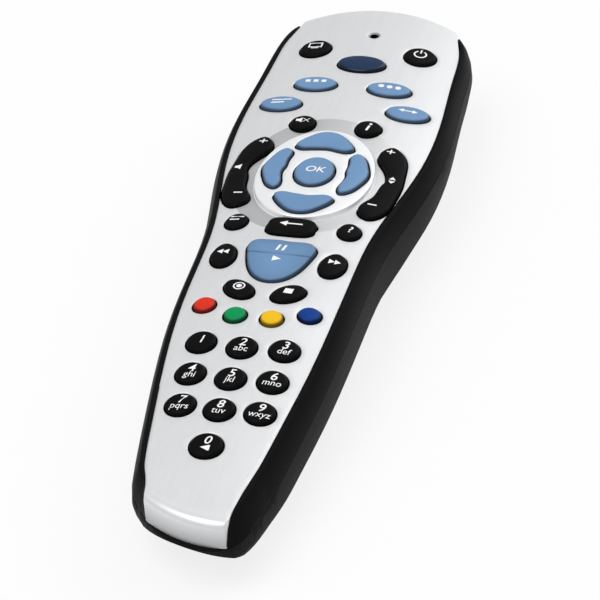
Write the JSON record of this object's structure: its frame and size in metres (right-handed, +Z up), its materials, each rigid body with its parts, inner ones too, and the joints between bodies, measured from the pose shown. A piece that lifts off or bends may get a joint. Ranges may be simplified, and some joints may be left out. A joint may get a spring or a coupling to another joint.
{
  "type": "satellite box remote control",
  "caption": "Long waisted handset with a crowned silver face plate, moving keys, a ring of cursor keys, two rocker keys and a battery cover in its back.",
  "frame": {"origin": "on the table, midway between the sides and within half a millimetre of midway between the head and the tail", "axes": "+Z up out of the keys, +Y along the handset to the infrared window, +X to the right when the keys are read"},
  "size_m": [0.0596, 0.2158, 0.0294],
  "materials": {
    "silver_plate": "satin silver paint on moulded plastic",
    "black_case": "satin black",
    "grey_case": "satin charcoal",
    "black_key": "fine matt texture",
    "pale_blue_key": "satin",
    "navy_key": "gloss",
    "red_key": "satin",
    "green_key": "satin",
    "yellow_key": "satin",
    "blue_key": "satin",
    "board": "resin laminate",
    "mat_rubber": "silicone rubber",
    "cell_skin": "bare dark sleeve",
    "contact_metal": "nickel plated",
    "dark_window": "gloss",
    "lamp_lens": "clear epoxy",
    "component_black": "moulded",
    "component_tan": "lacquered"
  },
  "bodies": {
    "housing": {"face_plate": "silver_plate", "front_case": "black_case", "rear_shell": "grey_case", "circuit_board": "board", "keymat": "mat_rubber", "cell_left": "cell_skin", "cell_right": "cell_skin", "spring_contact": "contact_metal", "button_contact": "contact_metal", "bridge_contact": "contact_metal", "ir_window": "dark_window", "ir_emitter": "lamp_lens", "indicator_led": "lamp_lens", "controller_chip": "component_black", "resonator": "component_tan", "capacitor": "component_black", "driver_transistor": "component_black"},
    "battery_cover": {"battery_cover": "grey_case"},
    "key_tv": {"key_tv": "black_key"},
    "key_power": {"key_power": "black_key"},
    "key_home": {"key_home": "navy_key"},
    "key_upper_left": {"key_upper_left": "pale_blue_key"},
    "key_upper_right": {"key_upper_right": "pale_blue_key"},
    "key_lower_left": {"key_lower_left": "pale_blue_key"},
    "key_lower_right": {"key_lower_right": "pale_blue_key"},
    "key_mute": {"key_mute": "black_key"},
    "key_info": {"key_info": "black_key"},
    "key_select": {"key_select": "pale_blue_key"},
    "key_text": {"key_text": "black_key"},
    "key_help": {"key_help": "black_key"},
    "key_rewind": {"key_rewind": "black_key"},
    "key_forward": {"key_forward": "black_key"},
    "key_record": {"key_record": "black_key"},
    "key_stop": {"key_stop": "black_key"},
    "key_red": {"key_red": "red_key"},
    "key_green": {"key_green": "green_key"},
    "key_yellow": {"key_yellow": "yellow_key"},
    "key_blue": {"key_blue": "blue_key"},
    "key_1": {"key_1": "black_key"},
    "key_2": {"key_2": "black_key"},
    "key_3": {"key_3": "black_key"},
    "key_4": {"key_4": "black_key"},
    "key_5": {"key_5": "black_key"},
    "key_6": {"key_6": "black_key"},
    "key_7": {"key_7": "black_key"},
    "key_8": {"key_8": "black_key"},
    "key_9": {"key_9": "black_key"},
    "key_0": {"key_0": "black_key"},
    "key_up": {"key_up": "pale_blue_key"},
    "key_down": {"key_down": "pale_blue_key"},
    "key_left": {"key_left": "pale_blue_key"},
    "key_right": {"key_right": "pale_blue_key"},
    "key_volume": {"key_volume": "black_key"},
    "key_channel": {"key_channel": "black_key"},
    "key_play": {"key_play": "pale_blue_key"},
    "key_back": {"key_back": "black_key"}
  },
  "joints": [
    {"name": "key_tv_press", "type": "slide", "parent": "housing", "child": "key_tv", "axis": [0, 0, -1], "range_m": [0, 0.001], "stiffness_N_per_m": 900, "deforming": ["keymat"]},
    {"name": "key_power_press", "type": "slide", "parent": "housing", "child": "key_power", "axis": [0, 0, -1], "range_m": [0, 0.001], "stiffness_N_per_m": 900, "deforming": ["keymat"]},
    {"name": "key_home_press", "type": "slide", "parent": "housing", "child": "key_home", "axis": [0, 0, -1], "range_m": [0, 0.001], "stiffness_N_per_m": 900, "deforming": ["keymat"]},
    {"name": "key_upper_left_press", "type": "slide", "parent": "housing", "child": "key_upper_left", "axis": [0, 0, -1], "range_m": [0, 0.001], "stiffness_N_per_m": 900, "deforming": ["keymat"]},
    {"name": "key_upper_right_press", "type": "slide", "parent": "housing", "child": "key_upper_right", "axis": [0, 0, -1], "range_m": [0, 0.001], "stiffness_N_per_m": 900, "deforming": ["keymat"]},
    {"name": "key_lower_left_press", "type": "slide", "parent": "housing", "child": "key_lower_left", "axis": [0, 0, -1], "range_m": [0, 0.001], "stiffness_N_per_m": 900, "deforming": ["keymat"]},
    {"name": "key_lower_right_press", "type": "slide", "parent": "housing", "child": "key_lower_right", "axis": [0, 0, -1], "range_m": [0, 0.001], "stiffness_N_per_m": 900, "deforming": ["keymat"]},
    {"name": "key_mute_press", "type": "slide", "parent": "housing", "child": "key_mute", "axis": [0, 0, -1], "range_m": [0, 0.001], "stiffness_N_per_m": 900, "deforming": ["keymat"]},
    {"name": "key_info_press", "type": "slide", "parent": "housing", "child": "key_info", "axis": [0, 0, -1], "range_m": [0, 0.001], "stiffness_N_per_m": 900, "deforming": ["keymat"]},
    {"name": "key_select_press", "type": "slide", "parent": "housing", "child": "key_select", "axis": [0, 0, -1], "range_m": [0, 0.001], "stiffness_N_per_m": 900, "deforming": ["keymat"]},
    {"name": "key_text_press", "type": "slide", "parent": "housing", "child": "key_text", "axis": [0, 0, -1], "range_m": [0, 0.001], "stiffness_N_per_m": 900, "deforming": ["keymat"]},
    {"name": "key_help_press", "type": "slide", "parent": "housing", "child": "key_help", "axis": [0, 0, -1], "range_m": [0, 0.001], "stiffness_N_per_m": 900, "deforming": ["keymat"]},
    {"name": "key_rewind_press", "type": "slide", "parent": "housing", "child": "key_rewind", "axis": [0, 0, -1], "range_m": [0, 0.001], "stiffness_N_per_m": 900, "deforming": ["keymat"]},
    {"name": "key_forward_press", "type": "slide", "parent": "housing", "child": "key_forward", "axis": [0, 0, -1], "range_m": [0, 0.001], "stiffness_N_per_m": 900, "deforming": ["keymat"]},
    {"name": "key_record_press", "type": "slide", "parent": "housing", "child": "key_record", "axis": [0, 0, -1], "range_m": [0, 0.001], "stiffness_N_per_m": 900, "deforming": ["keymat"]},
    {"name": "key_stop_press", "type": "slide", "parent": "housing", "child": "key_stop", "axis": [0, 0, -1], "range_m": [0, 0.001], "stiffness_N_per_m": 900, "deforming": ["keymat"]},
    {"name": "key_red_press", "type": "slide", "parent": "housing", "child": "key_red", "axis": [0, 0, -1], "range_m": [0, 0.001], "stiffness_N_per_m": 900, "deforming": ["keymat"]},
    {"name": "key_green_press", "type": "slide", "parent": "housing", "child": "key_green", "axis": [0, 0, -1], "range_m": [0, 0.001], "stiffness_N_per_m": 900, "deforming": ["keymat"]},
    {"name": "key_yellow_press", "type": "slide", "parent": "housing", "child": "key_yellow", "axis": [0, 0, -1], "range_m": [0, 0.001], "stiffness_N_per_m": 900, "deforming": ["keymat"]},
    {"name": "key_blue_press", "type": "slide", "parent": "housing", "child": "key_blue", "axis": [0, 0, -1], "range_m": [0, 0.001], "stiffness_N_per_m": 900, "deforming": ["keymat"]},
    {"name": "key_1_press", "type": "slide", "parent": "housing", "child": "key_1", "axis": [0, 0, -1], "range_m": [0, 0.001], "stiffness_N_per_m": 900, "deforming": ["keymat"]},
    {"name": "key_2_press", "type": "slide", "parent": "housing", "child": "key_2", "axis": [0, 0, -1], "range_m": [0, 0.001], "stiffness_N_per_m": 900, "deforming": ["keymat"]},
    {"name": "key_3_press", "type": "slide", "parent": "housing", "child": "key_3", "axis": [0, 0, -1], "range_m": [0, 0.001], "stiffness_N_per_m": 900, "deforming": ["keymat"]},
    {"name": "key_4_press", "type": "slide", "parent": "housing", "child": "key_4", "axis": [0, 0, -1], "range_m": [0, 0.001], "stiffness_N_per_m": 900, "deforming": ["keymat"]},
    {"name": "key_5_press", "type": "slide", "parent": "housing", "child": "key_5", "axis": [0, 0, -1], "range_m": [0, 0.001], "stiffness_N_per_m": 900, "deforming": ["keymat"]},
    {"name": "key_6_press", "type": "slide", "parent": "housing", "child": "key_6", "axis": [0, 0, -1], "range_m": [0, 0.001], "stiffness_N_per_m": 900, "deforming": ["keymat"]},
    {"name": "key_7_press", "type": "slide", "parent": "housing", "child": "key_7", "axis": [0, 0, -1], "range_m": [0, 0.001], "stiffness_N_per_m": 900, "deforming": ["keymat"]},
    {"name": "key_8_press", "type": "slide", "parent": "housing", "child": "key_8", "axis": [0, 0, -1], "range_m": [0, 0.001], "stiffness_N_per_m": 900, "deforming": ["keymat"]},
    {"name": "key_9_press", "type": "slide", "parent": "housing", "child": "key_9", "axis": [0, 0, -1], "range_m": [0, 0.001], "stiffness_N_per_m": 900, "deforming": ["keymat"]},
    {"name": "key_0_press", "type": "slide", "parent": "housing", "child": "key_0", "axis": [0, 0, -1], "range_m": [0, 0.001], "stiffness_N_per_m": 900, "deforming": ["keymat"]},
    {"name": "key_up_press", "type": "slide", "parent": "housing", "child": "key_up", "axis": [0, 0, -1], "range_m": [0, 0.001], "stiffness_N_per_m": 900, "deforming": ["keymat"]},
    {"name": "key_down_press", "type": "slide", "parent": "housing", "child": "key_down", "axis": [0, 0, -1], "range_m": [0, 0.001], "stiffness_N_per_m": 900, "deforming": ["keymat"]},
    {"name": "key_left_press", "type": "slide", "parent": "housing", "child": "key_left", "axis": [0, 0, -1], "range_m": [0, 0.001], "stiffness_N_per_m": 900, "deforming": ["keymat"]},
    {"name": "key_right_press", "type": "slide", "parent": "housing", "child": "key_right", "axis": [0, 0, -1], "range_m": [0, 0.001], "stiffness_N_per_m": 900, "deforming": ["keymat"]},
    {"name": "key_volume_rock", "type": "hinge", "parent": "housing", "child": "key_volume", "pos_m": [-0.018, 0.0223, 0.0262], "axis": [1, 0, 0], "range_deg": [-2.5, 2.5], "stiffness_Nm_per_rad": 0.12, "deforming": ["keymat"]},
    {"name": "key_channel_rock", "type": "hinge", "parent": "housing", "child": "key_channel", "pos_m": [0.018, 0.0223, 0.0262], "axis": [1, 0, 0], "range_deg": [-2.5, 2.5], "stiffness_Nm_per_rad": 0.12, "deforming": ["keymat"]},
    {"name": "key_play_rock", "type": "hinge", "parent": "housing", "child": "key_play", "pos_m": [0, -0.0171, 0.0262], "axis": [1, 0, 0], "range_deg": [-3, 3], "stiffness_Nm_per_rad": 0.05, "deforming": ["keymat"]},
    {"name": "key_back_press", "type": "slide", "parent": "housing", "child": "key_back", "axis": [0, 0, -1], "range_m": [0, 0.001], "stiffness_N_per_m": 900, "deforming": ["keymat"]},
    {"name": "battery_cover_hinge", "type": "hinge", "parent": "housing", "child": "battery_cover", "pos_m": [0, -0.0772, 0.0003], "axis": [-1, 0, 0], "range_deg": [0, 75]}
  ]
}
